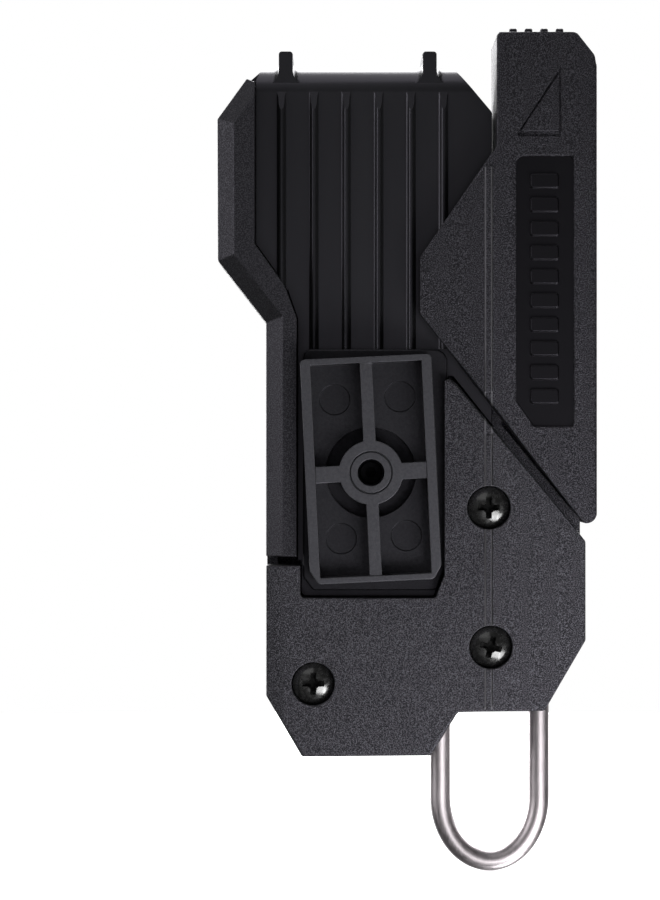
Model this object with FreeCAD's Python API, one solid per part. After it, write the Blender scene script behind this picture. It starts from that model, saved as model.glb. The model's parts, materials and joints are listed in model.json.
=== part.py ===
"""Locking quick-release belt tool dock, one STEP file per piece.

Frame, in millimetres: X to the right and Z up as seen from the belt side, and Y from the belt side
towards the tool.  The origin is the centre of the mount block's hub, level with the block's outer rim.
"""

import FreeCAD, Part
import math
import os

from FreeCAD import Vector

# Depth levels along Y.
FACE_Y = 5.0          # outer face of the cover, rail and lever
PANEL_Y = 12.0        # outer face of the ribbed panel
PART_Y = 17.0         # parting plane between the belt-side pieces and the front shell
FRONT_Y = 27.0        # outer face of the front shell's wall, the floor of the tool dock
DOCK_Y = 35.5         # outer edge of the dock's side rails
WALL = 2.2            # moulded wall thickness
EDGE_R = 0.5          # rounding of the moulded outer edges
FACE_R = 0.6          # rounding round the faces of the cover and lever
SECTION = 2.0         # wall thickness at the cavities' sides

# Outlines in the XZ plane: (x, z) or (x, z, corner radius).
RAIL_OUTER = [(-20.6, -16.5), (-20.6, 29.5), (-30.1, 41.7), (-30.2, 69.6), (-24.4, 77.6), (-22.8, 76.8)]
RAIL_INNER = [(-22.8, 45.0, 1.0), (-16.8, 36.6, 5.0), (-14.5, 30.3, 3.0), (-14.5, -16.5)]
RAIL_BEVEL = 3.3
COVER_BOTTOM = [(-20.5, -43.8, 0.8), (-13.5, -55.8, 0.8), (11.8, -55.6, 0.8), (17.1, -47.1, 0.8),
                (34.1, -46.8, 0.8), (42.2, -33.0, 0.8)]
COVER_RIGHT = [(42.2, -13.5, 1.0), (16.9, 17.4, 0.6)]
POCKET = [(14.4, 18.0, 0.4), (14.4, -20.1), (12.7, -24.6, 0.6), (-13.3, -24.6, 0.6), (-13.8, -24.0),
          (-13.8, -18.3)]
LEVER_LEFT = [(41.95, -10.0, 0.7), (9.7, 31.1, 0.8), (9.7, 42.3, 0.8), (24.7, 64.2, 1.5)]
LEVER_RIGHT = [(24.7, 85.8, 0.6), (25.3, 86.5), (40.4, 86.5, 1.5), (44.0, 82.0, 2.0), (44.4, 79.6),
               (44.4, -10.0, 2.0)]
CREASE_X = 23.1       # narrow raised line that runs down the lever and the cover
CREASE_HALF = 0.55
CREASE_PROUD = 0.2
CREASE_FALL = 0.8     # how far the faces right of the line drop back at their edge
CREASE_FALL_LEFT = 0.4

# Release lever and its travel.
TRAVEL = 2.5
LEVER_FRONT_Y = 29.0
LEVER_GRIPS = [28.0, 31.05, 34.1, 37.15]
LEVER_WALL_X = 26.9   # inside of the lever's left wall, above the bulge
BULGE_DEPTH_Y = 10.5
GRIP_RECESS = [(28.5, 13.9), (32.2, 8.9), (40.0, 8.9, 1.2), (40.0, 62.3, 1.6), (28.5, 62.3, 1.8)]
GRIP_RECESS_Y = FACE_Y + 1.3
GRIP_BARS = 10
GRIP_BAR_X = (31.4, 36.9)
GRIP_BAR_ZONE = (12.6, 59.6)
ARROW = [(37.4, 79.8), (28.4, 66.0, 0.5), (37.4, 66.0, 0.3)]
ARROW_CORE = [(37.0, 78.4), (29.5, 67.1), (37.0, 67.1)]
ARROW_DEPTH = 1.0

# Guide tongue of the front shell, inside the lever.
TONGUE = [(24.2, 8.7), (41.7, -12.7), (41.7, 70.0), (27.3, 70.0), (27.3, 60.7), (24.2, 60.7)]
TONGUE_FOOT = [(24.2, 8.0), (41.7, -13.4), (41.7, -12.0), (24.2, 9.4)]
TONGUE_Y = (14.5, 26.4)
SPRING_POST = (34.4, 18.0)
STOP_PIN = (34.4, 25.0)
LINK_Z = 55.0
LINK_Y = (18.7, 20.5)
LINK_BOSS_X = 31.0

# Latch bolt, sliding along Y out of the dock floor.
BOLT_X = (-10.5, 3.0)
BOLT_Y = (17.7, 24.5)
BOLT_Z = (48.5, 59.0)
NOSE_X = (-7.0, 2.0)
NOSE_Z = (51.0, 56.0)
NOSE_OUT = 2.5
LATCH_SPRING = (-7.3, 53.5)

# Mount block, seat and swivel.
BLOCK_TURN = 2.7      # degrees that the block is turned about its hub
BLOCK_X = 12.85
BLOCK_Z = (-21.3, 22.6)
BLOCK_Y = 7.2
BLOCK_FLOOR_Y = 5.2
HUB_R = 6.25
HUB_GROOVE_R = (3.95, 4.2)
HUB_BORE_R = 2.6
HUB_BORE_Y = 4.9
HUB_SCREW_Y = 3.2
KEY_Y = 6.2
KEY_HALF = 3.0
RIB_SINK_Y = 0.15     # the cross ribs and hub stop this far below the rim
FLOOR_HOLE_R = 8.8
SEAT_Y = 7.5
SPINDLE_R = 4.0
RUNNING_FIT = 0.05

# Fasteners.
COVER_SCREWS = [(23.2, -6.9, 0.0), (23.6, -34.3, -15.0), (-11.3, -41.5, 0.0)]
PANEL_SCREWS = [(19.5, 30.0, 20.0), (19.5, 44.0, 0.0)]
RAIL_SCREWS = [(-26.4, 62.0, 0.0), (-17.5, 4.0, 0.0)]
SEAT_SCREWS = [(-6.6, -14.0, 10.0), (6.6, 14.0, 40.0)]
HEAD_SINK_Y = 8.3
HEAD_BORE_R = 4.25     # counterbores of the cover screws

# Lanyard loop.
LOOP_X = 23.8
LOOP_HALF = 9.85
LOOP_R = 2.0
LOOP_BEND_Z = -64.6
LOOP_BOTTOM_Z = -77.5
ANCHOR_Z = (-30.2, -28.7)

# Tool dock on the front.
DOCK_WEBS = [(-18.15, -15.4, 1.8), (10.4, 13.15, -1.8)]
DOCK_Z = (8.0, 83.4)
LIP_Y = 33.7
LIP_TOP_Z = 81.4
FRONT_FIELD = [(-15.2, -1.0, 2.0), (-15.2, -41.5, 2.0), (-10.8, -50.2, 2.0), (8.8, -50.2, 2.0),
               (14.0, -41.6, 2.0), (31.2, -41.6, 2.0), (36.6, -32.0, 2.0), (36.6, -16.5, 2.0),
               (24.0, -1.0, 2.0)]
FRONT_FIELD_DEPTH = 0.8
FIELD_RIBS_Z = [-12.0, -18.0, -24.0, -30.0, -36.0]
BUMPER_Z = (10.0, 13.0)

# Ribbed panel.
PANEL_TOP = [(-21.6, 80.0, 0.6), (16.8, 80.0, 0.8)]
PANEL_TOP_R = 4.6     # the panel's top edge rolls back with this radius
EAR_FOOT_R = 1.5
RIB_PITCH = 6.42
RIB_FIRST_X = -17.6
RIB_COUNT = 6
RIB_Z = (24.4, 75.4)
RIB_RUN_OUT = 3.6
RIB_HEIGHT = 1.1
RIB_SINK = 0.05       # depth of the ribs' hollow feet below the panel's face
RIB_R = 0.6           # radius of a rib's crest and of its hollow feet
RIB_RAIL_GAP = 0.15


def wire(points, y):
    """Closed wire in the plane at depth y, with an arc at each point that states a radius."""
    corners = []
    count = len(points)
    for i, point in enumerate(points):
        here = Vector(point[0], y, point[1])
        radius = point[2] if len(point) > 2 else 0.0
        if radius == 0.0:
            corners.append((here, None, here))
            continue
        before = Vector(points[i - 1][0], y, points[i - 1][1]) - here
        after = Vector(points[(i + 1) % count][0], y, points[(i + 1) % count][1]) - here
        before.normalize()
        after.normalize()
        half = before.getAngle(after) / 2
        reach = radius / math.tan(half)
        middle = (before + after).normalize() * (radius / math.sin(half) - radius)
        corners.append((here + before * reach, here + middle, here + after * reach))
    edges = []
    for i, (start, middle, end) in enumerate(corners):
        if middle is not None:
            edges.append(Part.Arc(start, middle, end).toShape())
        following = corners[(i + 1) % count][0]
        if end.distanceToPoint(following) > 1e-6:
            edges.append(Part.LineSegment(end, following).toShape())
    return Part.Wire(edges)


def moved_in(points, inset):
    """Outline with every side moved inwards by inset and its corners mitred."""
    count = len(points)
    area = sum(points[i - 1][0] * points[i][1] - points[i][0] * points[i - 1][1] for i in range(count))
    side = math.copysign(1.0, area)
    moved = []
    for i, point in enumerate(points):
        before = points[i - 1]
        after = points[(i + 1) % count]
        into = Vector(point[0] - before[0], point[1] - before[1], 0).normalize()
        out = Vector(after[0] - point[0], after[1] - point[1], 0).normalize()
        normal_in = Vector(-into.y, into.x, 0) * side
        normal_out = Vector(-out.y, out.x, 0) * side
        shift = (normal_in + normal_out) * (inset / (1.0 + normal_in.dot(normal_out)))
        convex = (into.x * out.y - into.y * out.x) * side > 0
        radius = point[2] if len(point) > 2 else 0.0
        radius = max(radius - inset, 0.0) if convex else (radius + inset if radius else 0.0)
        moved.append((point[0] + shift.x, point[1] + shift.y, radius))
    return moved


def plate(points, y0, y1, inset=0.0):
    """Outline extruded from depth y0 to y1, moved inwards by inset."""
    outline = wire(moved_in(points, inset) if inset else points, y0)
    return Part.Face(outline).extrude(Vector(0, y1 - y0, 0))


def box(x, y, z):
    """Box from three (low, high) pairs."""
    return Part.makeBox(x[1] - x[0], y[1] - y[0], z[1] - z[0], Vector(x[0], y[0], z[0]))


def prism(points, along):
    """Polygon extruded along a vector."""
    return Part.Face(Part.makePolygon(points + points[:1])).extrude(along)


def rod(x, z, radius, y0, y1):
    """Cylinder along Y."""
    return Part.makeCylinder(radius, y1 - y0, Vector(x, y0, z), Vector(0, 1, 0))


def upright(x, y, radius, z0, z1):
    """Cylinder along Z."""
    return Part.makeCylinder(radius, z1 - z0, Vector(x, y, z0), Vector(0, 0, 1))


def lathe(profile, x, z):
    """Solid of revolution about a Y axis through (x, z), from (radius, y) points."""
    points = [Vector(x + r, y, z) for r, y in profile]
    face = Part.Face(Part.makePolygon(points + points[:1]))
    return face.revolve(Vector(x, 0, z), Vector(0, 1, 0), 360)


def round_edges(solid, radius, test):
    """Fillet of the edges whose two ends and middle pass the test."""
    chosen = []
    for edge in solid.Edges:
        middle = edge.valueAt((edge.FirstParameter + edge.LastParameter) / 2)
        if all(test(point) for point in [v.Point for v in edge.Vertexes] + [middle]):
            chosen.append(edge)
    return solid.makeFillet(radius, chosen)


def on_face(y):
    """Test for points at depth y."""
    return lambda point: abs(point.y - y) < 1e-4


def fall_back(solid, x0, x1, drop, z0, z1):
    """Shave the face at FACE_Y so that it drops back evenly from x0 to x1."""
    wedge = [Vector(x0, FACE_Y, z0), Vector(x1, FACE_Y + drop, z0), Vector(x1, FACE_Y - 1, z0),
             Vector(x0, FACE_Y - 1, z0)]
    return solid.cut(prism(wedge, Vector(0, 0, z1 - z0)))


def crease_line(z0, z1):
    """Narrow raised line with sloping flanks, at CREASE_X."""
    foot = CREASE_HALF + CREASE_PROUD
    section = [Vector(CREASE_X - foot, FACE_Y, z0), Vector(CREASE_X - CREASE_HALF, FACE_Y - CREASE_PROUD, z0),
               Vector(CREASE_X + CREASE_HALF, FACE_Y - CREASE_PROUD, z0), Vector(CREASE_X + foot, FACE_Y, z0),
               Vector(CREASE_X + foot, FACE_Y + 1, z0), Vector(CREASE_X - foot, FACE_Y + 1, z0)]
    return prism(section, Vector(0, 0, z1 - z0))


def coil(radius, wire_radius, height, turns):
    """Compression spring standing on the XY plane, its wire ends inside the height."""
    rise = height - 2 * wire_radius
    path = Part.makeHelix(rise / turns, rise, radius)
    start = Vector(radius, 0, 0)
    section = Part.Wire(Part.makeCircle(wire_radius, start, Vector(0, 1, 0)))
    spring = Part.Wire(path).makePipeShell([section], True, True)
    spring.translate(Vector(0, 0, wire_radius))
    return spring


def export(name, shape):
    """Write one node after checking that it is sound."""
    if not shape.isValid() or shape.Volume <= 0:
        raise ValueError(name + " isn't a sound solid")
    shape.exportStep("parts/" + name + ".step")


def pan_screw(x, z, turn, head_r, seat_y, dome, shank_r, length):
    """Domed cross-recess screw whose head looks along -Y and sits on seat_y."""
    top_y = seat_y - dome
    crown_rise = dome * 0.45
    crown_r = (head_r ** 2 + crown_rise ** 2) / (2 * crown_rise)
    crown = Part.makeSphere(crown_r, Vector(x, top_y + crown_r, z))
    head = rod(x, z, head_r, top_y - 0.1, seat_y).common(crown)
    arm = head_r * 0.59
    half = head_r * 0.15
    depth = dome * 0.75
    for angle in (0, 90):
        upper = [Vector(-arm, 0, -half), Vector(arm, 0, -half), Vector(arm, 0, half), Vector(-arm, 0, half)]
        lower = [Vector(p.x * 0.45, depth, p.z * 0.6) for p in upper]
        slot = Part.makeLoft([Part.makePolygon(s + s[:1]) for s in (upper, lower)], True, True)
        slot = slot.fuse(box((-arm, arm), (-1, 0), (-half, half)))
        slot.rotate(Vector(0, 0, 0), Vector(0, -1, 0), angle + turn)
        slot.translate(Vector(x, top_y + 0.05, z))
        head = head.cut(slot)
    centre = lathe([(0, top_y - 0.5), (half * 2.0, top_y - 0.5), (half * 2.0, top_y + 0.05),
                    (half * 0.9, top_y + depth), (0, top_y + depth)], x, z)
    shank = lathe([(0, seat_y), (shank_r, seat_y), (shank_r, seat_y + length - shank_r),
                   (shank_r * 0.4, seat_y + length), (0, seat_y + length)], x, z)
    return head.cut(centre).fuse(shank)


def main_outline():
    """Outline of the front shell's tray: rail, panel, cover and the edge beside the tongue."""
    right = 24.2
    (low_x, low_z, _), (high_x, high_z, _) = COVER_RIGHT
    diagonal_z = low_z + (low_x - right) * (high_z - low_z) / (low_x - high_x)
    return (RAIL_OUTER[1:5] + PANEL_TOP + [(right, 71.3, 0.8), (right, diagonal_z)] + COVER_RIGHT[:1]
            + COVER_BOTTOM[::-1])


def front_shell():
    """Front housing: tray, guide tongue, screw bosses, latch guide and the tool dock."""
    tray = plate(main_outline(), PART_Y, FRONT_Y)
    tray = round_edges(tray, EDGE_R, on_face(FRONT_Y))
    field = plate(FRONT_FIELD, FRONT_Y - FRONT_FIELD_DEPTH, FRONT_Y + 1)
    for z in FIELD_RIBS_Z:
        ridge = [(-11.5, z - 1.0, 0.9), (11.0, z - 1.0, 0.9), (11.0, z + 1.0, 0.9), (-11.5, z + 1.0, 0.9)]
        field = field.cut(plate(ridge, FRONT_Y - 1, FRONT_Y - 0.2))
    tray = tray.cut(field)
    tray = tray.cut(plate(main_outline(), PART_Y - 1, FRONT_Y - WALL, WALL))
    tongue = plate(TONGUE, *TONGUE_Y)
    tongue = tongue.cut(plate(TONGUE, TONGUE_Y[0] - 1, TONGUE_Y[1] - 2.0, 2.0))
    shell = tray.fuse(tongue).fuse(plate(TONGUE_FOOT, PART_Y, TONGUE_Y[1]))
    inner_y = FRONT_Y - WALL
    for x, z, _ in COVER_SCREWS:
        shell = shell.fuse(rod(x, z, 4.0, PART_Y, inner_y)).cut(rod(x, z, 2.05, PART_Y - 1, 23.5))
    guide = box((BOLT_X[0] - 2.2, BOLT_X[1] + 2.2), (PART_Y, inner_y), (BOLT_Z[0] - 2.2, BOLT_Z[1] + 2.2))
    shell = shell.fuse(guide)
    shell = shell.cut(box((BOLT_X[0] - 0.3, BOLT_X[1] + 0.3), (PART_Y - 1, inner_y),
                          (BOLT_Z[0] - 0.3, BOLT_Z[1] + 0.3)))
    shell = shell.cut(box((NOSE_X[0] - 0.3, NOSE_X[1] + 0.3), (inner_y - 1, FRONT_Y + 1),
                          (NOSE_Z[0] - 0.3, NOSE_Z[1] + 0.3)))
    link_low = LINK_Z - 1.5 - TRAVEL - 0.4
    shell = shell.cut(box((BOLT_X[1], 26.6), (TONGUE_Y[0] - 1, LINK_Y[1] + 0.4), (link_low, LINK_Z + 1.9)))
    x, y = SPRING_POST
    shell = shell.fuse(upright(x, y, 2.0, TONGUE[2][1] - 0.5, TONGUE[2][1] + 5.0))
    x, z = STOP_PIN
    shell = shell.fuse(rod(x, z, 3.2, 20.5, 25.0)).cut(rod(x, z, 1.5, 19.0, 30.0))
    for low, high, lip in DOCK_WEBS:
        web = box((low, high), (FRONT_Y - 1, DOCK_Y), DOCK_Z)
        crest = box((low, high), (PART_Y, FRONT_Y), (78.0, DOCK_Z[1]))
        edge = high if lip > 0 else low
        ledge = box(sorted((edge, edge + lip)), (LIP_Y, DOCK_Y), (DOCK_Z[0], LIP_TOP_Z))
        rail = round_edges(web.fuse(ledge).fuse(crest).removeSplitter(), 0.8,
                           lambda p: p.z > DOCK_Z[1] - 1e-3 and p.y > FRONT_Y + 1)
        shell = shell.fuse(rail)
    stop_x = (DOCK_WEBS[0][1] - 1, DOCK_WEBS[1][0] + 1)
    shell = shell.fuse(box(stop_x, (FRONT_Y - 1, 33.0), (DOCK_Z[0], BUMPER_Z[0])))
    for x, z, _ in RAIL_SCREWS:
        shell = shell.fuse(rod(x, z, 3.0, PART_Y, inner_y)).cut(rod(x, z, 1.7, PART_Y - 1, FRONT_Y + 1))
        shell = shell.cut(rod(x, z, 2.9, FRONT_Y - 1.9, FRONT_Y + 1))
    for x, z, _ in PANEL_SCREWS:
        shell = shell.fuse(rod(x, z, 2.9, PART_Y, inner_y)).cut(rod(x, z, 1.55, PART_Y - 1, 24.0))
    for side in (-1, 1):
        shell = shell.cut(upright(LOOP_X + side * LOOP_HALF, PART_Y, LOOP_R + 0.2, -60, -38))
    return shell.common(box((-60, 60), (0, 60), (-80, 100))).removeSplitter()


def back_cover():
    """Lower belt-side cover with the pocket round the mount block's seat."""
    outline = [(-20.5, -18.3)] + COVER_BOTTOM + COVER_RIGHT + [(15.5, 18.4)] + POCKET
    plain = [(-20.5, -18.3)] + COVER_BOTTOM + [COVER_RIGHT[0], (14.4, 20.2), POCKET[1], (12.7, -24.6),
                                               (-13.8, -24.6), POCKET[-1]]
    cover = plate(outline, FACE_Y, PART_Y)
    cover = round_edges(cover, FACE_R, lambda p: abs(p.y - FACE_Y) < 1e-4 and (p.z < -25 or p.x > 16.6))
    cover = fall_back(cover, CREASE_X + CREASE_HALF, 42.2, CREASE_FALL, -60, 30)
    cover = fall_back(cover, -17.0, -20.5, 0.4, -60, -10)
    cover = cover.fuse(crease_line(-45.9, 7.4))
    cover = cover.cut(plate(plain, FACE_Y + WALL, PART_Y + 1, SECTION))
    cover = cover.cut(box((14.0, 15.4), (SEAT_Y - 0.2, PART_Y + 1), (-24.4, 20.0)))
    body = plate(outline, FACE_Y, PART_Y)
    for x, z, _ in COVER_SCREWS:
        boss = rod(x, z, 5.7, FACE_Y + 1.2, 10.5).fuse(rod(x, z, 3.75, 10.0, PART_Y))
        cover = cover.fuse(boss.common(body))
        cover = cover.cut(rod(x, z, 2.2, 0, PART_Y + 1)).cut(rod(x, z, HEAD_BORE_R, 0, HEAD_SINK_Y))
    for side in (-1, 1):
        cover = cover.cut(upright(LOOP_X + side * LOOP_HALF, PART_Y, LOOP_R + 0.2, -60, -38))
    return cover.removeSplitter()


def side_rail():
    """Hollow beam along the left edge, with a wide outer bevel."""
    outline = RAIL_OUTER + RAIL_INNER
    rail = plate(outline, FACE_Y, PART_Y)
    outer = []
    for edge in rail.Edges:
        middle = edge.valueAt((edge.FirstParameter + edge.LastParameter) / 2)
        on_left = middle.x < -20.5 and not (middle.x > -24.0 and middle.z > 37)
        if abs(middle.y - FACE_Y) < 1e-4 and on_left:
            outer.append(edge)
    rail = rail.makeChamfer(RAIL_BEVEL, outer)
    plain = [point[:2] for point in RAIL_OUTER[:4] + [(-22.8, 77.0)] + RAIL_INNER]
    rail = rail.cut(plate(plain, FACE_Y + WALL + 2.0, PART_Y + 1, 1.9))
    body = plate(outline, FACE_Y + 3.4, PART_Y)
    for x, z, _ in RAIL_SCREWS:
        rail = rail.fuse(rod(x, z, 2.8, FACE_Y + 4.2, PART_Y).common(body))
        rail = rail.cut(rod(x, z, 1.55, FACE_Y + 5.0, PART_Y + 1))
    return rail.removeSplitter()


def panel_outline():
    """Outline of the ribbed panel, reaching down under the mount block's seat."""
    return ([(-22.6, 45.2, 1.0), (-22.6, 77.9)] + PANEL_TOP
            + [(24.1, 71.3, 0.8), (24.0, 9.6), (16.4, 19.1), (14.2, 19.1), (14.2, -20.1), (12.5, -24.4),
               (-13.6, -24.4, 0.9), (-13.6, -17.4), (-14.3, -17.4), (-14.3, 30.4, 3.0), (-16.5, 36.75, 5.0)])


def rib_profile(x, z):
    """Face across a rib: a round crest between hollow feet."""
    crest_y = PANEL_Y - RIB_HEIGHT + RIB_R
    foot_y = PANEL_Y + RIB_SINK - RIB_R
    half = math.sqrt((2 * RIB_R) ** 2 - (foot_y - crest_y) ** 2)
    lean = math.atan2(foot_y - crest_y, half)
    middle = lean / 2 + math.pi * 3 / 4

    def at(side, centre_x, centre_y, angle):
        return Vector(x + side * (centre_x + RIB_R * math.cos(angle)), centre_y + RIB_R * math.sin(angle), z)

    edges = [Part.Arc(at(-1, 0, crest_y, lean), Vector(x, PANEL_Y - RIB_HEIGHT, z),
                      at(1, 0, crest_y, lean)).toShape()]
    low_y = PANEL_Y + RIB_SINK + 0.3
    for side in (-1, 1):
        foot = at(side, half, foot_y, math.pi / 2)
        edges.append(Part.Arc(at(side, 0, crest_y, lean), at(side, half, foot_y, middle), foot).toShape())
        edges.append(Part.makeLine(foot, Vector(foot.x, low_y, z)))
    edges.append(Part.makeLine(Vector(x - half, low_y, z), Vector(x + half, low_y, z)))
    return Part.Face(Part.Wire(Part.__sortEdges__(edges)))


def panel_rib(x):
    """Raised rib that runs out into the panel at its top and stops beside the rail."""
    low, high = RIB_Z
    crest_y = PANEL_Y - RIB_HEIGHT
    rib = rib_profile(x, low).extrude(Vector(0, 0, high - low))
    side = x - 3
    run_out = [Vector(side, crest_y, high - RIB_RUN_OUT), Vector(side, PANEL_Y, high),
               Vector(side, crest_y - 1, high + 1), Vector(side, crest_y - 1, high - RIB_RUN_OUT)]
    rib = rib.cut(prism(run_out, Vector(6, 0, 0)))
    beside = [(point[0] + RIB_RAIL_GAP,) + point[1:] for point in RAIL_INNER]
    rail = [(-40.0, beside[-1][1]), (-40.0, beside[0][1])] + beside
    return rib.cut(plate(rail, 0, PANEL_Y + 1))


def ribbed_panel():
    """Recessed back panel with six raised ribs, a rolled top edge and two ears."""
    top_z = PANEL_TOP[0][1]
    roll_y = PANEL_Y + PANEL_TOP_R
    roll_z = top_z - PANEL_TOP_R
    panel = plate(panel_outline(), PANEL_Y, PART_Y)
    corner = box((-25, 26), (PANEL_Y - 1, roll_y), (roll_z, top_z + 1))
    corner = corner.cut(Part.makeCylinder(PANEL_TOP_R, 51, Vector(-25, roll_y, roll_z), Vector(1, 0, 0)))
    panel = panel.cut(corner)
    for low, high, _ in DOCK_WEBS:
        ear = [(low, top_z - 4), (low, DOCK_Z[1], 0.6), (high, DOCK_Z[1], 0.6), (high, top_z - 4)]
        panel = panel.fuse(plate(ear, PANEL_Y + 0.35, PART_Y))

    def on_roll(point):
        off_axis = math.hypot(point.y - roll_y, point.z - roll_z)
        beside = any(abs(point.x - side) < 1e-3 for web in DOCK_WEBS for side in web[:2])
        return beside and abs(off_axis - PANEL_TOP_R) < 1e-3

    panel = round_edges(panel, EAR_FOOT_R, on_roll)
    panel = panel.cut(plate(panel_outline(), PANEL_Y + WALL, PART_Y + 1, SECTION))
    for i in range(RIB_COUNT):
        panel = panel.fuse(panel_rib(RIB_FIRST_X + i * RIB_PITCH))
    for x, z, _ in PANEL_SCREWS:
        panel = panel.fuse(rod(x, z, 2.9, PANEL_Y + 1, PART_Y)).cut(rod(x, z, 1.7, 0, PART_Y + 1))
        panel = panel.cut(rod(x, z, 3.0, 0, PANEL_Y + 1.2))
    for x, z, _ in SEAT_SCREWS:
        panel = panel.cut(rod(x, z, 1.55, 0, PART_Y + 1))
    return panel.cut(rod(0, 0, SPINDLE_R + RUNNING_FIT, 0, PART_Y + 1)).removeSplitter()


def lever_outline():
    """Whole outline of the lever's belt-side face."""
    return LEVER_LEFT + LEVER_RIGHT


def lever_finger():
    """The part of the outline that is as deep as the housing."""
    slope = (LEVER_LEFT[1][1] - LEVER_LEFT[0][1]) / (LEVER_LEFT[1][0] - LEVER_LEFT[0][0])
    low_z = LEVER_LEFT[0][1] + (24.7 - LEVER_LEFT[0][0]) * slope
    return [LEVER_LEFT[0], (24.7, low_z)] + LEVER_RIGHT


def grip_bars():
    """Plain raised bars in the lever's recess."""
    low, high = GRIP_BAR_X
    pitch = (GRIP_BAR_ZONE[1] - GRIP_BAR_ZONE[0]) / GRIP_BARS
    half = pitch * 0.3
    bars = []
    for i in range(GRIP_BARS):
        z = GRIP_BAR_ZONE[0] + (i + 0.5) * pitch
        outline = [(low, z - half, 0.5), (high, z - half, 0.5), (high, z + half, 0.5), (low, z + half, 0.5)]
        bar = plate(outline, FACE_Y + 0.45, GRIP_RECESS_Y + 0.3)
        bars.append(round_edges(bar, 0.25, on_face(FACE_Y + 0.45)))
    return bars


def release_lever():
    """Press-down release lever: a sleeve over the shell's tongue with a wide thumb plate."""
    lever = plate(lever_outline(), FACE_Y, BULGE_DEPTH_Y)
    lever = round_edges(lever, FACE_R, on_face(FACE_Y))
    lever = fall_back(lever, CREASE_X + CREASE_HALF, 44.3, CREASE_FALL, -20, 90)
    lever = fall_back(lever, CREASE_X - CREASE_HALF, 9.7, CREASE_FALL_LEFT, -20, 90)
    lever = lever.fuse(crease_line(15.8, 60.0))
    finger = plate(lever_finger(), FACE_Y + 3, LEVER_FRONT_Y)
    finger = round_edges(finger, EDGE_R, on_face(LEVER_FRONT_Y))
    lever = lever.fuse(finger).removeSplitter()
    plain = [(44.3, -13.0), (9.7, 31.1), (9.7, 42.3), (24.7, 64.2), (24.7, 86.5), (44.3, 86.5)]
    lever = lever.cut(plate(plain, FACE_Y + WALL, BULGE_DEPTH_Y + 0.1, WALL))
    lever = lever.cut(box((9.0, 17.5), (FACE_Y + WALL, BULGE_DEPTH_Y + 1), (10, 30.6)))
    inside_y = (BULGE_DEPTH_Y, LEVER_FRONT_Y - WALL)
    lever = lever.cut(box((LEVER_WALL_X, 42.1), inside_y, (-20, 84.3)))
    lever = lever.cut(box((20.0, 42.1), inside_y, (-20, 64.2)))
    for x in LEVER_GRIPS:
        grip = box((x - 0.75, x + 0.75), (FACE_Y + 1.6, LEVER_FRONT_Y - 1.6), (86.0, 87.3))
        lever = lever.fuse(round_edges(grip, 0.35, lambda p: p.z > 87.2))
    lever = lever.cut(plate(GRIP_RECESS, 0, GRIP_RECESS_Y))
    for bar in grip_bars():
        lever = lever.fuse(bar)
    arrow = plate(ARROW, 0, FACE_Y + ARROW_DEPTH).cut(plate(ARROW_CORE, -1, FACE_Y + 1))
    lever = lever.cut(arrow)
    x, z = STOP_PIN
    half = 1.8
    slot = [(x - half, z - half, 1.79), (x + half, z - half, 1.79), (x + half, z + TRAVEL + half, 1.79),
            (x - half, z + TRAVEL + half, 1.79)]
    lever = lever.cut(plate(slot, LEVER_FRONT_Y - WALL - 1, LEVER_FRONT_Y + 1))
    lever = lever.fuse(rod(LINK_BOSS_X, LINK_Z, 3.0, FACE_Y + 1.3, LINK_Y[0]))
    return lever.cut(rod(LINK_BOSS_X, LINK_Z, 1.3, 10.0, 20.0)).removeSplitter()


def release_link():
    """Steel strip from the lever to the latch bolt, with an angled cam end."""
    strip = box((-3.6, LINK_BOSS_X + 3.4), LINK_Y, (LINK_Z - 1.5, LINK_Z + 1.5))
    strip = strip.fuse(rod(LINK_BOSS_X, LINK_Z, 3.4, *LINK_Y))
    strip = strip.cut(rod(LINK_BOSS_X, LINK_Z, 1.35, 0, 40))
    strip = strip.cut(box((-10, 3.2), (0, 40), (40, 70)))
    y = sum(LINK_Y) / 2
    cam = box((-3.6, 3.4), (-1.25, 1.25), (-0.9, 0.9))
    cam.rotate(Vector(0, 0, 0), Vector(1, 0, 0), -45)
    cam.translate(Vector(0, y, LINK_Z))
    return strip.fuse(cam).removeSplitter()


def latch_bolt():
    """Sliding bolt with a ramped nose, a cam slot and a spring pocket."""
    bolt = box(BOLT_X, BOLT_Y, BOLT_Z)
    nose = box(NOSE_X, (BOLT_Y[0], FRONT_Y + NOSE_OUT), NOSE_Z)
    tip_y = FRONT_Y + NOSE_OUT
    rise = NOSE_OUT + 0.2
    ramp = [Vector(-20, tip_y - rise, NOSE_Z[1] + 0.1), Vector(-20, tip_y + 0.1, NOSE_Z[1] - rise),
            Vector(-20, tip_y + 0.1, NOSE_Z[1] + 0.1)]
    nose = nose.cut(prism(ramp, Vector(40, 0, 0)))
    bolt = bolt.fuse(nose)
    y = sum(LINK_Y) / 2
    slide = box((-4.0, 10.0), (-1.6, TRAVEL * math.sqrt(2) + 1.6), (-1.2, 1.2))
    slide.rotate(Vector(0, 0, 0), Vector(1, 0, 0), -45)
    slide.translate(Vector(0, y, LINK_Z))
    bolt = bolt.cut(slide)
    return bolt.cut(rod(*LATCH_SPRING, 2.6, BOLT_Y[0] - 1, BOLT_Y[0] + 4.0)).removeSplitter()


def latch_spring():
    """Small spring between the panel and the bolt."""
    spring = coil(1.95, 0.3, BOLT_Y[0] + 4.0 - (PANEL_Y + WALL), 6)
    spring.rotate(Vector(0, 0, 0), Vector(1, 0, 0), -90)
    spring.translate(Vector(LATCH_SPRING[0], PANEL_Y + WALL, LATCH_SPRING[1]))
    return spring


def lever_spring():
    """Return spring between the tongue and the lever's top wall."""
    spring = coil(3.3, 0.45, 84.3 - TONGUE[2][1], 7)
    spring.translate(Vector(SPRING_POST[0], SPRING_POST[1], TONGUE[2][1]))
    return spring


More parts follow.
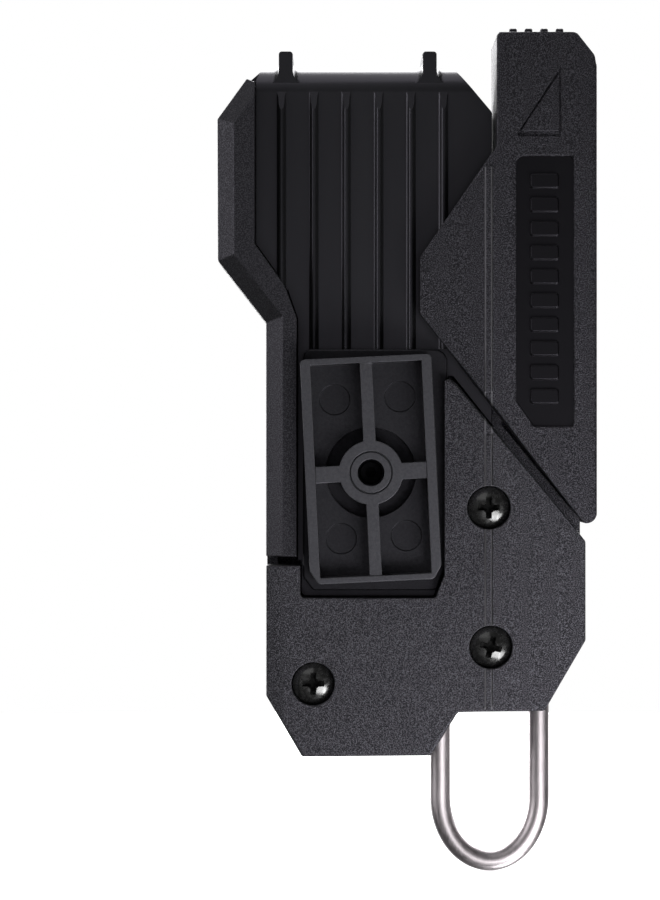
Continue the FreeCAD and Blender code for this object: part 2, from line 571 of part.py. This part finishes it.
def mount_block():
    """Cross-ribbed block that slides into the belt clip."""
    low, high = BLOCK_Z
    outline = [(-BLOCK_X, high, 1.0), (BLOCK_X, high, 1.0), (BLOCK_X, low + 2.6, 1.2),
               (BLOCK_X - 1.6, low, 1.0), (-BLOCK_X + 1.6, low, 1.0), (-BLOCK_X, low + 2.6, 1.2)]
    pocket = box((-BLOCK_X + 2.0, BLOCK_X - 2.0), (-1, BLOCK_FLOOR_Y), (low + 1.2, high - 1.2))
    body = plate(outline, 0, BLOCK_Y)
    block = round_edges(body, 0.25, on_face(0)).cut(pocket)
    for x in (-6.4, 6.4):
        for z in (-12.7, 14.6):
            block = block.cut(rod(x, z, 3.0, 0, BLOCK_FLOOR_Y + 0.25))
    block = block.cut(rod(0, 0, FLOOR_HOLE_R, -1, BLOCK_Y + 1))
    depth = (RIB_SINK_Y, BLOCK_Y)
    for cross in (box((-1.2, 1.2), depth, (low + 0.5, high - 0.5)),
                  box((-BLOCK_X + 0.5, BLOCK_X - 0.5), depth, (-1.6, 1.6))):
        block = block.fuse(cross)
    block = block.fuse(rod(0, 0, HUB_R, *depth))
    inner_r, outer_r = HUB_GROOVE_R
    block = block.cut(rod(0, 0, outer_r, -1, 0.55).cut(rod(0, 0, inner_r, -2, 1)))
    block = block.cut(rod(0, 0, HUB_BORE_R, -1, HUB_BORE_Y)).cut(rod(0, 0, 1.35, 0, BLOCK_Y + 1))
    half = KEY_HALF + RUNNING_FIT
    block = block.cut(box((-half, half), (KEY_Y, BLOCK_Y + 1), (-half, half)))
    block = block.removeSplitter()
    block.rotate(Vector(0, 0, 0), Vector(0, -1, 0), BLOCK_TURN)
    return block


def swivel_seat():
    """Flat seat under the mount block, square with the housing."""
    outline = [(-13.3, 24.2, 1.6), (15.1, 24.2, 2.4), (15.1, -17.5), (13.0, -23.2, 1.0), (-11.4, -23.2, 1.0),
               (-13.3, -20.6, 1.0)]
    seat = plate(outline, SEAT_Y, PANEL_Y)
    seat = round_edges(seat, 0.4, on_face(SEAT_Y))
    for x, z, _ in SEAT_SCREWS:
        seat = seat.cut(rod(x, z, 1.7, 0, 20)).cut(rod(x, z, 3.0, 0, SEAT_Y + 2.0))
    return seat.cut(rod(0, 0, SPINDLE_R + RUNNING_FIT, 0, 20))


def swivel_spindle():
    """Keyed steel spindle that the block turns on."""
    shaft = lathe([(0, BLOCK_Y), (SPINDLE_R, BLOCK_Y), (SPINDLE_R, 15.7), (3.3, 15.7), (3.3, 16.8),
                   (SPINDLE_R, 16.8), (SPINDLE_R, 17.8), (SPINDLE_R - 0.5, 18.3), (0, 18.3)], 0, 0)
    key = box((-KEY_HALF, KEY_HALF), (KEY_Y + 0.1, BLOCK_Y + 0.5), (-KEY_HALF, KEY_HALF))
    key = key.common(rod(0, 0, SPINDLE_R, 5, BLOCK_Y + 0.5))
    key.rotate(Vector(0, 0, 0), Vector(0, -1, 0), BLOCK_TURN)
    return shaft.fuse(key).cut(rod(0, 0, 1.3, 5, 14.0)).removeSplitter()


def spindle_clip():
    """Open retaining clip in the spindle's groove."""
    clip = rod(0, 0, 6.0, 15.8, 16.7).cut(rod(0, 0, 3.35, 15, 18))
    clip = clip.cut(box((-2.9, 2.9), (15, 18), (-8, 0)))
    for side in (-1, 1):
        clip = clip.cut(rod(side * 4.6, 2.2, 0.7, 15, 18))
    return clip


def hub_screw():
    """Hexagon-socket screw down the bore of the block's hub."""
    screw = lathe([(0, HUB_SCREW_Y), (2.0, HUB_SCREW_Y), (2.25, HUB_SCREW_Y + 0.25), (2.25, HUB_BORE_Y),
                   (1.25, HUB_BORE_Y), (1.25, 12.0), (0, 12.4)], 0, 0)
    corners = []
    for k in range(6):
        angle = math.radians(60 * k)
        corners.append(Vector(1.15 * math.cos(angle), 0, 1.15 * math.sin(angle)))
    return screw.cut(prism(corners, Vector(0, HUB_SCREW_Y + 1.3, 0)))


def lanyard_loop():
    """Bent steel rod with headed ends."""
    left = LOOP_X - LOOP_HALF
    right = LOOP_X + LOOP_HALF
    head_z = ANCHOR_Z[1]
    top_left = Vector(left, PART_Y, head_z)
    top_right = Vector(right, PART_Y, head_z)
    bend_left = Vector(left, PART_Y, LOOP_BEND_Z)
    bend_right = Vector(right, PART_Y, LOOP_BEND_Z)
    centre = Vector(LOOP_X, PART_Y, LOOP_BEND_Z)
    ellipse = Part.Ellipse(Vector(LOOP_X, PART_Y, LOOP_BOTTOM_Z), bend_right, centre)
    bend = ellipse.toShape(-math.pi / 2, math.pi / 2)
    path = Part.Wire(Part.__sortEdges__([Part.makeLine(top_left, bend_left), bend,
                                         Part.makeLine(bend_right, top_right)]))
    section = Part.Wire(Part.makeCircle(LOOP_R, top_left, Vector(0, 0, 1)))
    loop = path.makePipeShell([section], True, True)
    for x in (left, right):
        loop = loop.fuse(upright(x, PART_Y, 2.8, head_z, head_z + 1.6))
    return loop.removeSplitter()


def loop_anchor():
    """Slotted steel plate that the loop's headed ends bear on."""
    anchor = box((9.5, 37.0), (10.8, FRONT_Y - WALL - 0.1), ANCHOR_Z)
    for side in (-1, 1):
        anchor = anchor.cut(upright(LOOP_X + side * LOOP_HALF, PART_Y, LOOP_R + 0.1, -40, -20))
    return anchor


def dock_bumper():
    """Rubber strip on the dock's bottom stop."""
    strip = box((DOCK_WEBS[0][1] + 0.3, DOCK_WEBS[1][0] - 0.3), (FRONT_Y, 32.6), BUMPER_Z)
    return round_edges(strip, 0.8, lambda p: p.z > BUMPER_Z[1] - 1e-3)


def stop_pin():
    """Dowel pin in the tongue that ends the lever's travel."""
    x, z = STOP_PIN
    return lathe([(0, 20.6), (1.2, 20.6), (1.5, 20.9), (1.5, 28.4), (1.2, 28.7), (0, 28.7)], x, z)


def main():
    """Build and write every piece."""
    os.makedirs("parts", exist_ok=True)
    export("front_shell", front_shell())
    export("back_cover", back_cover())
    export("side_rail", side_rail())
    export("ribbed_panel", ribbed_panel())
    export("release_lever", release_lever())
    export("release_link", release_link())
    export("latch_bolt", latch_bolt())
    export("latch_spring", latch_spring())
    export("lever_spring", lever_spring())
    export("lever_stop_pin", stop_pin())
    export("mount_block", mount_block())
    export("swivel_seat", swivel_seat())
    export("swivel_spindle", swivel_spindle())
    export("swivel_washer", rod(0, 0, 7.0, 14.4, 15.6).cut(rod(0, 0, SPINDLE_R + 0.1, 10, 20)))
    export("spindle_clip", spindle_clip())
    export("hub_screw", hub_screw())
    export("lanyard_loop", lanyard_loop())
    export("loop_anchor", loop_anchor())
    export("dock_bumper", dock_bumper())
    link_screw = pan_screw(LINK_BOSS_X, LINK_Z, 0.0, 2.4, 0.0, 1.6, 1.25, 9.0)
    export("link_screw", link_screw.mirror(Vector(0, LINK_Y[1] / 2, 0), Vector(0, 1, 0)))
    groups = {
        "cover_screws": (COVER_SCREWS, 4.0, HEAD_SINK_Y, 2.6, 2.0, 14.0),
        "panel_screws": (PANEL_SCREWS, 2.75, PANEL_Y + 1.2, 1.9, 1.5, 10.0),
        "seat_screws": (SEAT_SCREWS, 2.75, SEAT_Y + 2.0, 1.8, 1.5, 7.0),
    }
    for name, (places, head_r, seat_y, dome, shank_r, length) in groups.items():
        screws = [pan_screw(x, z, turn, head_r, seat_y, dome, shank_r, length) for x, z, turn in places]
        export(name, Part.makeCompound(screws))
    screws = []
    for x, z, turn in RAIL_SCREWS:
        screw = pan_screw(x, z, turn, 2.75, 0.0, 1.9, 1.5, 14.0)
        screws.append(screw.mirror(Vector(0, (FRONT_Y - 1.9) / 2, 0), Vector(0, 1, 0)))
    export("rail_screws", Part.makeCompound(screws))


main()
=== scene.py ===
"""Looks of the locking belt tool dock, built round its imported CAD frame.

Everything is in metres, in the CAD frame: X right and Z up as seen from the belt side, -Y towards the viewer.
"""

import json
import math

import bpy
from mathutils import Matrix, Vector


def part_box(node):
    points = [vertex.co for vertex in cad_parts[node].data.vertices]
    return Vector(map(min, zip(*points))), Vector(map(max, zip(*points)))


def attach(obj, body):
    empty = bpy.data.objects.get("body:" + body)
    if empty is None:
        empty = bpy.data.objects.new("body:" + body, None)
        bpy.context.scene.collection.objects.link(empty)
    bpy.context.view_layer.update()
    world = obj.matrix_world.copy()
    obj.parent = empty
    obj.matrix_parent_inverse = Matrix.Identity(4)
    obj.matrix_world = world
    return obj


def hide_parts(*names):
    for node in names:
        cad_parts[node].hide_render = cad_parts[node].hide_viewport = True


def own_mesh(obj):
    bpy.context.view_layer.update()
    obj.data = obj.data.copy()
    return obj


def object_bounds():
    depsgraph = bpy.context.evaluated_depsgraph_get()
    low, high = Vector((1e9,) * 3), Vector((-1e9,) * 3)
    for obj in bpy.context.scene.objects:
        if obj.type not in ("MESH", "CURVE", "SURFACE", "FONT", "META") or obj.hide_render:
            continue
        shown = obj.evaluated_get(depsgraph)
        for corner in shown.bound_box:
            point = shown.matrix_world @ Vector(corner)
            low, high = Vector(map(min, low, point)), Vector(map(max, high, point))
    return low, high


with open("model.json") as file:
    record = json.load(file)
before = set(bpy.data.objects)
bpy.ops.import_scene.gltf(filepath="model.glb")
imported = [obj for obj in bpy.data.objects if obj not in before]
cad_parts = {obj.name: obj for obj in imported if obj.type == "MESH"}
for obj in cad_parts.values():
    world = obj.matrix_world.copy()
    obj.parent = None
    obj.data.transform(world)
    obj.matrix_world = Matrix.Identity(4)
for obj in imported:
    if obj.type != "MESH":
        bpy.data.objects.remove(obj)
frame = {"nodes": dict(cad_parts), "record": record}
cad_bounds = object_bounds()
nodes = frame["nodes"]
MM = 0.001
RANGE_SOCKETS = ("From Min", "From Max", "To Min", "To Max")

# Plastics: a cast for grey() that makes black a little blue, the tint of reflections, and the grain's size
# and depths.
BLUE = -0.04
PLASTIC_SHEEN = (0.88, 0.84, 1.0, 1.0)
GRAIN = 0.22 * MM
COARSE_RELIEF = 0.10 * MM
FINE_RELIEF = 0.03 * MM
SHEEN = 0.52          # specular level of grained plastic
SHEEN_DIP = 0.22      # how far below it the darkest grains are
SHEEN_PEAK = 0.76     # how far above it the brightest grains are

# Raised line down the lever and cover: zones of its two flanks, given a painted highlight of colour and
# sheen.
FLANKS_X = [(22.30 * MM, 22.62 * MM), (23.58 * MM, 23.90 * MM)]
FLANKS_Y = (4.6 * MM, 5.6 * MM)
FLANKS_Z = (-46.5 * MM, 60.0 * MM)
FLANKS_HIGHLIGHT_LEVEL = 0.06
FLANKS_HIGHLIGHT_SHEEN = 1.0

# Recess of the lever, whose floor and bars are smooth and glossy.
RECESS = [(28.6 * MM, 39.9 * MM), (5.3 * MM, 6.6 * MM), (9.0 * MM, 62.2 * MM)]
RECESS_LEVEL = 0.15   # share of the plastic's own brightness
RECESS_SHEEN = 0.3
RECESS_ROUGH = 0.38

# Painted shade: depths over which the mount block's pockets turn dull and dark, and a screw's drive recess
# dull.
POCKET_Y = (3.0 * MM, 6.0 * MM)
POCKET_SHADE = 0.2
POCKET_SHEEN = 0.44
DRIVE_Y = (6.4 * MM, 7.0 * MM)

# Camera and stage.
CAMERA_X = -8.0 * MM
CAMERA_Z = 4.4 * MM
CAMERA_DISTANCE = 0.700
VIEW_HEIGHT = 176.5 * MM
SENSOR = 36.0
FLOOR_RADIUS = 0.45
FLOOR_GLOW = 0.75
WORLD_LIGHT = 0.03
BACKDROP_LIGHT = 0.9
BACKDROP_EDGES = (0.35, 0.9)      # how squarely behind the object the backdrop fades in and is full

# Rounding of the moulded edges, as widths and as the angle from which an edge counts as sharp.
COVER_EDGE = 0.2 * MM
HOUSING_EDGE = 0.12 * MM
BLOCK_EDGE = 0.15 * MM
SHARP = 28.0
RAIL_SHARP = 22.0
SMOOTH_NODES = ["ribbed_panel", "lanyard_loop", "cover_screws", "dock_bumper", "latch_bolt", "hub_screw",
                "rail_screws"]

# Soft boxes: name, place, target, side, power.
SOFT_BOXES = [
    ("front", (0.02, -1.15, -0.26), (0.0, 0.0, 0.0), 0.80, 1.15),
    ("low_near", (0.11, -0.22, -0.14), (0.01, 0.0, -0.035), 0.12, 0.35),
    ("low_right", (0.36, -0.32, -0.30), (0.01, 0.0, -0.03), 0.25, 1.2),
    ("left", (-0.62, -0.22, 0.14), (0.0, 0.0, 0.0), 0.50, 2.1),
    ("front_high", (-0.25, -0.66, 0.56), (-0.03, 0.0, 0.05), 0.50, 0.45),
    ("below", (0.25, -0.10, -0.55), (0.01, 0.0, 0.0), 0.25, 2.0),
    ("top", (-0.05, -0.02, 0.60), (-0.02, 0.0, 0.05), 0.60, 1.6),
    ("rear_top", (-0.05, 0.50, 0.40), (-0.02, 0.0, 0.05), 0.50, 4.0),
    ("rear_right", (0.45, 0.60, 0.25), (0.0, 0.02, 0.0), 0.40, 3.0),
    ("rear_left", (-0.40, 0.70, 0.05), (0.0, 0.02, 0.0), 0.40, 3.0),
]


# ---------------------------------------------------------------- materials

class Shader:
    """A material under construction, with short calls for the nodes that this object needs."""

    def __init__(self, name, **settings):
        self.material = bpy.data.materials.new(name)
        self.material.use_nodes = True
        self.tree = self.material.node_tree
        self.bsdf = self.tree.nodes["Principled BSDF"]
        for socket, value in settings.items():
            self.bsdf.inputs[socket.replace("_", " ")].default_value = value
        coordinates = self.tree.nodes.new("ShaderNodeTexCoord")
        self.place = coordinates.outputs["Object"]

    def link(self, source, target):
        """Link one socket to another."""
        self.tree.links.new(source, target)

    def stretched(self, scale):
        """Object coordinates scaled along each axis."""
        node = self.tree.nodes.new("ShaderNodeMapping")
        node.inputs["Scale"].default_value = scale
        self.link(self.place, node.inputs["Vector"])
        return node.outputs["Vector"]

    def noise(self, size, detail=2.0, rough=0.5, vector=None):
        """Noise whose features are about size metres across."""
        node = self.tree.nodes.new("ShaderNodeTexNoise")
        node.inputs["Scale"].default_value = 1.0 / size
        node.inputs["Detail"].default_value = detail
        node.inputs["Roughness"].default_value = rough
        self.link(vector or self.place, node.inputs["Vector"])
        return node.outputs["Fac"]

    def spread(self, value, low, high, start=0.35, end=0.65):
        """Value mapped from start..end to low..high."""
        node = self.tree.nodes.new("ShaderNodeMapRange")
        for socket, number in zip(RANGE_SOCKETS, (start, end, low, high)):
            node.inputs[socket].default_value = number
        self.link(value, node.inputs["Value"])
        return node.outputs["Result"]

    def mixed(self, value, first, second):
        """Colour between first and second."""
        node = self.tree.nodes.new("ShaderNodeMix")
        node.data_type = "RGBA"
        node.inputs["A"].default_value = (*first, 1.0)
        node.inputs["B"].default_value = (*second, 1.0)
        self.link(value, node.inputs["Factor"])
        return node.outputs["Result"]

    def maths(self, operation, *values):
        """Result of a scalar operation on sockets or numbers."""
        node = self.tree.nodes.new("ShaderNodeMath")
        node.operation = operation
        for socket, value in zip(node.inputs, values):
            if isinstance(value, (int, float)):
                socket.default_value = value
            else:
                self.link(value, socket)
        return node.outputs["Value"]

    def depth(self):
        """Object-space Y."""
        node = self.tree.nodes.new("ShaderNodeSeparateXYZ")
        self.link(self.place, node.inputs["Vector"])
        return node.outputs["Y"]

    def within(self, *ranges):
        """1 inside a box in object space, 0 outside it."""
        node = self.tree.nodes.new("ShaderNodeSeparateXYZ")
        self.link(self.place, node.inputs["Vector"])
        inside = 1.0
        for socket, (low, high) in zip(node.outputs, ranges):
            above = self.maths("GREATER_THAN", socket, low)
            below = self.maths("LESS_THAN", socket, high)
            inside = self.maths("MULTIPLY", self.maths("MULTIPLY", above, below), inside)
        return inside

    def faded(self, mask, value, rest):
        """Value where the mask is 0, rest where it is 1."""
        node = self.tree.nodes.new("ShaderNodeMix")
        self.link(mask, node.inputs["Factor"])
        self.link(value, node.inputs["A"])
        node.inputs["B"].default_value = rest
        return node.outputs["Result"]

    def blended(self, mask, colour, rest):
        """Colour where the mask is 0, the plain colour rest where it is 1."""
        node = self.tree.nodes.new("ShaderNodeMix")
        node.data_type = "RGBA"
        self.link(mask, node.inputs["Factor"])
        self.link(colour, node.inputs["A"])
        node.inputs["B"].default_value = (*rest, 1.0)
        return node.outputs["Result"]

    def multiplied(self, first, second):
        """Product of two colours."""
        node = self.tree.nodes.new("ShaderNodeMix")
        node.data_type = "RGBA"
        node.blend_type = "MULTIPLY"
        node.inputs["Factor"].default_value = 1.0
        self.link(first, node.inputs["A"])
        self.link(second, node.inputs["B"])
        return node.outputs["Result"]

    def feed(self, name, value):
        """Link a value to the shader's socket of that name."""
        self.link(value, self.bsdf.inputs[name])

    def colour(self, value, first, second):
        """Base colour between first and second."""
        self.feed("Base Color", self.mixed(value, first, second))

    def bump(self, height, depth):
        """Bump of depth metres."""
        node = self.tree.nodes.new("ShaderNodeBump")
        node.inputs["Distance"].default_value = depth
        self.link(height, node.inputs["Height"])
        self.feed("Normal", node.outputs["Normal"])


def grey(level, warmth=0.0):
    """Grey, a little redder and less blue where warmth is above 0."""
    return (level * (1 + warmth), level, level * (1 - warmth))


def painted_highlight_flanks(shader):
    """Mask of the two flanks of the raised line, where a highlight is painted."""
    left, right = (shader.within(zone, FLANKS_Y, FLANKS_Z) for zone in FLANKS_X)
    return shader.maths("ADD", left, right)


def grained(shader, level, depth, rough, contrast, smooth_zone=None):
    """Spark-eroded grain: colour, sheen and relief from the same fine noise, left out of a smooth zone."""
    fine = shader.noise(GRAIN, 1.0, 0.5)
    broad = shader.noise(16 * MM, 3.0)
    bright_grains = shader.spread(fine, 0.0, 1.0, 0.4, 0.7)
    speck = shader.mixed(bright_grains, grey(level * 0.5, BLUE), grey(level * 2.2, BLUE))
    shade = shader.mixed(shader.spread(broad, 0.0, 1.0), grey(0.92), grey(1.08, 0.01))
    base = shader.multiplied(speck, shade)
    sheen = shader.spread(fine, SHEEN - SHEEN_DIP * contrast, SHEEN + SHEEN_PEAK * contrast, 0.42, 0.70)
    # Painted highlight: the raised line's two flanks get a lighter colour and more sheen.
    flanks = painted_highlight_flanks(shader)
    base = shader.blended(flanks, base, grey(FLANKS_HIGHLIGHT_LEVEL))
    sheen = shader.faded(flanks, sheen, FLANKS_HIGHLIGHT_SHEEN)
    roughness = shader.spread(fine, rough + 0.06, rough - 0.06)
    relief = fine
    if smooth_zone is not None:
        base = shader.blended(smooth_zone, base, grey(level * RECESS_LEVEL))
        sheen = shader.faded(smooth_zone, sheen, RECESS_SHEEN)
        roughness = shader.faded(smooth_zone, roughness, RECESS_ROUGH)
        relief = shader.faded(smooth_zone, fine, 0.5)
    shader.feed("Base Color", base)
    shader.feed("Specular IOR Level", sheen)
    shader.feed("Roughness", roughness)
    shader.bump(relief, depth)


def textured_plastic(name, level, depth, rough, contrast=1.0):
    """Moulded plastic with a fine spark-eroded grain."""
    shader = Shader(name, IOR=1.48, Specular_Tint=PLASTIC_SHEEN)
    grained(shader, level, depth, rough, contrast)
    return shader.material


def lever_plastic(name, level, depth, rough):
    """The same grained plastic, with the floor and bars of the lever's recess left smooth and glossy."""
    shader = Shader(name, IOR=1.48, Specular_Tint=PLASTIC_SHEEN)
    grained(shader, level, depth, rough, 1.0, shader.within(*RECESS))
    return shader.material


def satin_plastic(name, level, rough):
    """Smooth satin moulding with faint flow marks along its length."""
    shader = Shader(name, IOR=1.47, Specular_Tint=PLASTIC_SHEEN, Specular_IOR_Level=0.58)
    flow = shader.noise(7 * MM, 2.0, 0.5, shader.stretched((1.0, 1.0, 0.15)))
    shader.colour(shader.spread(flow, 0.0, 1.0), grey(level * 0.9, BLUE), grey(level * 1.1, BLUE))
    rub = shader.noise(1.2 * MM, 3.0, 0.5, shader.stretched((1.0, 1.0, 0.3)))
    shader.feed("Roughness", shader.spread(rub, rough - 0.015, rough + 0.015))
    shader.bump(shader.noise(0.3 * MM, 2.0), 0.006 * MM)
    return shader.material


def dry_plastic(name, level, rough, sheen):
    """Dull moulding with a slight mottle, as of glass-filled nylon, and painted shade: duller, darker deep in
    its pockets.
    """
    shader = Shader(name, IOR=1.5, Specular_Tint=PLASTIC_SHEEN)
    mottle = shader.noise(0.5 * MM, 4.0, 0.65)
    height = shader.depth()
    outer = shader.mixed(shader.spread(mottle, 0.0, 1.0), grey(level * 0.7, BLUE), grey(level * 1.35, BLUE))
    # Painted shade: the colour darkens and the sheen drops with depth into the pockets.
    shade = shader.mixed(shader.spread(height, 0.0, 1.0, *POCKET_Y), grey(1.0), grey(POCKET_SHADE))
    shader.feed("Base Color", shader.multiplied(outer, shade))
    shader.feed("Specular IOR Level", shader.spread(height, sheen, sheen * POCKET_SHEEN, *POCKET_Y))
    shader.feed("Roughness", shader.spread(shader.noise(0.6 * MM, 3.0), rough - 0.08, rough + 0.08))
    shader.bump(shader.noise(0.3 * MM, 3.0, 0.6), 0.04 * MM)
    return shader.material


def black_steel(name, shaded_recess=False):
    """Glossy black plating with faint rubbing, and if asked, painted shade taking the shine deep in the drive
    recess.
    """
    gloss = 0.7
    shader = Shader(name, IOR=1.6, Coat_Roughness=0.1, Specular_IOR_Level=gloss, Coat_Weight=gloss)
    rub = shader.noise(0.8 * MM, 4.0, 0.6)
    if shaded_recess:
        # Painted shade: no shine deep in the drive recess.
        recess_shade = shader.spread(shader.depth(), gloss, 0.0, *DRIVE_Y)
        shader.feed("Specular IOR Level", recess_shade)
        shader.feed("Coat Weight", recess_shade)
    shader.colour(shader.spread(rub, 0.0, 1.0, 0.4, 0.75), grey(0.010), grey(0.024))
    shader.feed("Roughness", shader.spread(rub, 0.16, 0.34))
    shader.bump(shader.noise(0.3 * MM, 3.0), 0.008 * MM)
    return shader.material


def bright_steel(name, level, rough, drawn, tint=(1.0, 1.0, 1.0)):
    """Bare or plated steel with fine marks drawn along it."""
    shader = Shader(name, Metallic=1.0)
    marks = shader.noise(0.35 * MM, 4.0, 0.6, shader.stretched(drawn))
    dark, light = ([level * share * part for part in tint] for share in (0.9, 1.06))
    shader.colour(shader.spread(marks, 0.0, 1.0), dark, light)
    shader.feed("Roughness", shader.spread(marks, rough * 0.85, rough * 1.15))
    shader.bump(marks, 0.001 * MM)
    return shader.material


def waxy_plastic(name, level):
    """Smooth natural acetal or nylon."""
    shader = Shader(name, IOR=1.48, Subsurface_Weight=0.1)
    shader.bsdf.inputs["Subsurface Radius"].default_value = (1.2 * MM, 1.0 * MM, 0.8 * MM)
    shader.colour(shader.spread(shader.noise(3 * MM), 0.0, 1.0), grey(level * 0.95, 0.02), grey(level, 0.03))
    shader.feed("Roughness", shader.spread(shader.noise(0.5 * MM, 3.0), 0.3, 0.42))
    return shader.material


def rubber(name):
    """Matte moulded rubber."""
    shader = Shader(name, IOR=1.5)
    shader.colour(shader.spread(shader.noise(1.5 * MM, 3.0), 0.0, 1.0), grey(0.012), grey(0.02))
    shader.feed("Roughness", shader.spread(shader.noise(0.4 * MM, 3.0), 0.6, 0.8))
    shader.bump(shader.noise(0.15 * MM, 2.0), 0.02 * MM)
    return shader.material


MATERIALS = {
    "housing_plastic": textured_plastic("housing_plastic", 0.011, COARSE_RELIEF, 0.45),
    "panel_plastic": satin_plastic("panel_plastic", 0.009, 0.33),
    "block_plastic": dry_plastic("block_plastic", 0.028, 0.5, 0.65),
    "acetal": waxy_plastic("acetal", 0.5),
    "zinc_steel": bright_steel("zinc_steel", 0.6, 0.3, (1.0, 1.0, 0.2)),
    "spring_steel": bright_steel("spring_steel", 0.5, 0.22, (1.0, 1.0, 1.0)),
    "polished_steel": bright_steel("polished_steel", 0.44, 0.42, (1.0, 1.0, 0.08), (1.09, 1.0, 1.04)),
    "black_screw": black_steel("black_screw"),
    "rubber": rubber("rubber"),
}
NODE_MATERIALS = {
    "release_lever": lever_plastic("lever_plastic", 0.006, COARSE_RELIEF, 0.45),
    "side_rail": textured_plastic("rail_plastic", 0.007, FINE_RELIEF, 0.5, 0.5),
    # The hub screw is black, made near-black with little sheen as painted shade so it reads as dark as its
    # deep bore.
    "hub_screw": dry_plastic("hub_screw_black_and_shade", 0.001, 0.7, 0.08),
    "cover_screws": black_steel("cover_screw_black", True),
}


def dress(node, material):
    """Give a CAD node its material."""
    mesh = nodes[node].data
    mesh.materials.clear()
    mesh.materials.append(material)


def ease_edges(node, width, angle=SHARP):
    """Round a CAD node's sharp edges with real geometry, leaving its own mesh as it is."""
    piece = nodes[node]
    for polygon in piece.data.polygons:
        polygon.use_smooth = True
    weld = piece.modifiers.new("weld", "WELD")
    weld.merge_threshold = 0.002 * MM
    flat = piece.modifiers.new("flat", "DECIMATE")
    flat.decimate_type = "DISSOLVE"
    flat.angle_limit = math.radians(0.4)
    bevel = piece.modifiers.new("bevel", "BEVEL")
    bevel.width = width
    bevel.segments = 3
    bevel.limit_method = "ANGLE"
    bevel.use_clamp_overlap = False
    bevel.angle_limit = math.radians(angle)
    split = piece.modifiers.new("split", "EDGE_SPLIT")
    split.split_angle = math.radians(35.0)
    normals = piece.modifiers.new("normals", "WEIGHTED_NORMAL")
    normals.keep_sharp = True


def smooth(node, angle=30.0):
    """Shade curved stretches smoothly and keep corners sharp."""
    piece = nodes[node]
    for polygon in piece.data.polygons:
        polygon.use_smooth = True
    modifier = piece.modifiers.new("sharp", "EDGE_SPLIT")
    modifier.split_angle = math.radians(angle)


def squeeze_spring(node):
    """Stand a copy in for a CAD spring, fixed to the housing, and hide the CAD spring."""
    spring = bpy.data.objects.new(node + "_coil", nodes[node].data.copy())
    bpy.context.scene.collection.objects.link(spring)
    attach(spring, "housing")
    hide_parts(node)
    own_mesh(spring)


for entry in frame["record"]["subparts"]:
    dress(entry["node"], NODE_MATERIALS.get(entry["node"], MATERIALS[entry["material_slot"]]))
squeeze_spring("lever_spring")
squeeze_spring("latch_spring")


# ---------------------------------------------------------------- stage, light and camera

def build_floor():
    """Round pale floor, level with the lowest point of the object, with a faint glow like lit paper."""
    mesh = bpy.data.meshes.new("floor")
    sides = 96
    corners = []
    for k in range(sides):
        angle = 2 * math.pi * k / sides
        corners.append((FLOOR_RADIUS * math.cos(angle), FLOOR_RADIUS * math.sin(angle), cad_bounds[0][2]))
    mesh.from_pydata(corners, [], [tuple(range(sides))])
    floor = bpy.data.objects.new("floor", mesh)
    bpy.context.scene.collection.objects.link(floor)
    shader = Shader("floor", Roughness=0.9, Emission_Strength=FLOOR_GLOW)
    shader.bsdf.inputs["Emission Color"].default_value = (1.0, 1.0, 1.0, 1.0)
    shader.colour(shader.noise(0.4, 2.0), grey(0.86), grey(0.9))
    mesh.materials.append(shader.material)
    floor.visible_shadow = False
    floor.visible_glossy = False
    floor.visible_diffuse = False


def add_area(name, place, target, size, power):
    """Square soft light aimed at a point."""
    light = bpy.data.lights.new(name, "AREA")
    light.size = size
    light.energy = power
    lamp = bpy.data.objects.new(name, light)
    lamp.location = place
    lamp.rotation_euler = (Vector(target) - Vector(place)).to_track_quat("-Z", "Y").to_euler()
    bpy.context.scene.collection.objects.link(lamp)


def build_light():
    """White surroundings that light the object mostly from behind, and soft boxes round it."""
    world = bpy.data.worlds.new("studio")
    bpy.context.scene.world = world
    world.use_nodes = True
    tree = world.node_tree
    background = tree.nodes["Background"]
    background.inputs["Color"].default_value = (1.0, 1.0, 1.0, 1.0)
    heading = tree.nodes.new("ShaderNodeTexCoord")
    split = tree.nodes.new("ShaderNodeSeparateXYZ")
    tree.links.new(heading.outputs["Generated"], split.inputs["Vector"])
    behind = tree.nodes.new("ShaderNodeMapRange")
    behind.interpolation_type = "SMOOTHSTEP"
    for socket, number in zip(RANGE_SOCKETS, (*BACKDROP_EDGES, WORLD_LIGHT, BACKDROP_LIGHT)):
        behind.inputs[socket].default_value = number
    tree.links.new(split.outputs["Y"], behind.inputs["Value"])
    path = tree.nodes.new("ShaderNodeLightPath")
    strength = tree.nodes.new("ShaderNodeMix")
    strength.inputs["B"].default_value = 1.0
    tree.links.new(path.outputs["Is Camera Ray"], strength.inputs["Factor"])
    tree.links.new(behind.outputs["Result"], strength.inputs["A"])
    tree.links.new(strength.outputs["Result"], background.inputs["Strength"])
    for name, place, target, size, power in SOFT_BOXES:
        add_area(name, place, target, size, power)


def build_camera():
    """Level view of the belt side."""
    camera = bpy.data.cameras.new("camera")
    camera.sensor_width = SENSOR
    camera.lens = SENSOR * CAMERA_DISTANCE / VIEW_HEIGHT
    camera.clip_end = 100.0
    eye = bpy.data.objects.new("camera", camera)
    face_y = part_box("back_cover")[0].y
    eye.location = (CAMERA_X, face_y - CAMERA_DISTANCE, CAMERA_Z)
    eye.rotation_euler = (math.pi / 2, 0.0, 0.0)
    bpy.context.scene.collection.objects.link(eye)
    bpy.context.scene.camera = eye


build_floor()
build_light()
build_camera()
bpy.context.scene.view_settings.view_transform = "Standard"

ease_edges("back_cover", COVER_EDGE)
ease_edges("side_rail", COVER_EDGE, RAIL_SHARP)
for name in ("front_shell", "release_lever"):
    ease_edges(name, HOUSING_EDGE)
for name in ("mount_block", "swivel_seat"):
    ease_edges(name, BLOCK_EDGE)
for name in SMOOTH_NODES:
    smooth(name)
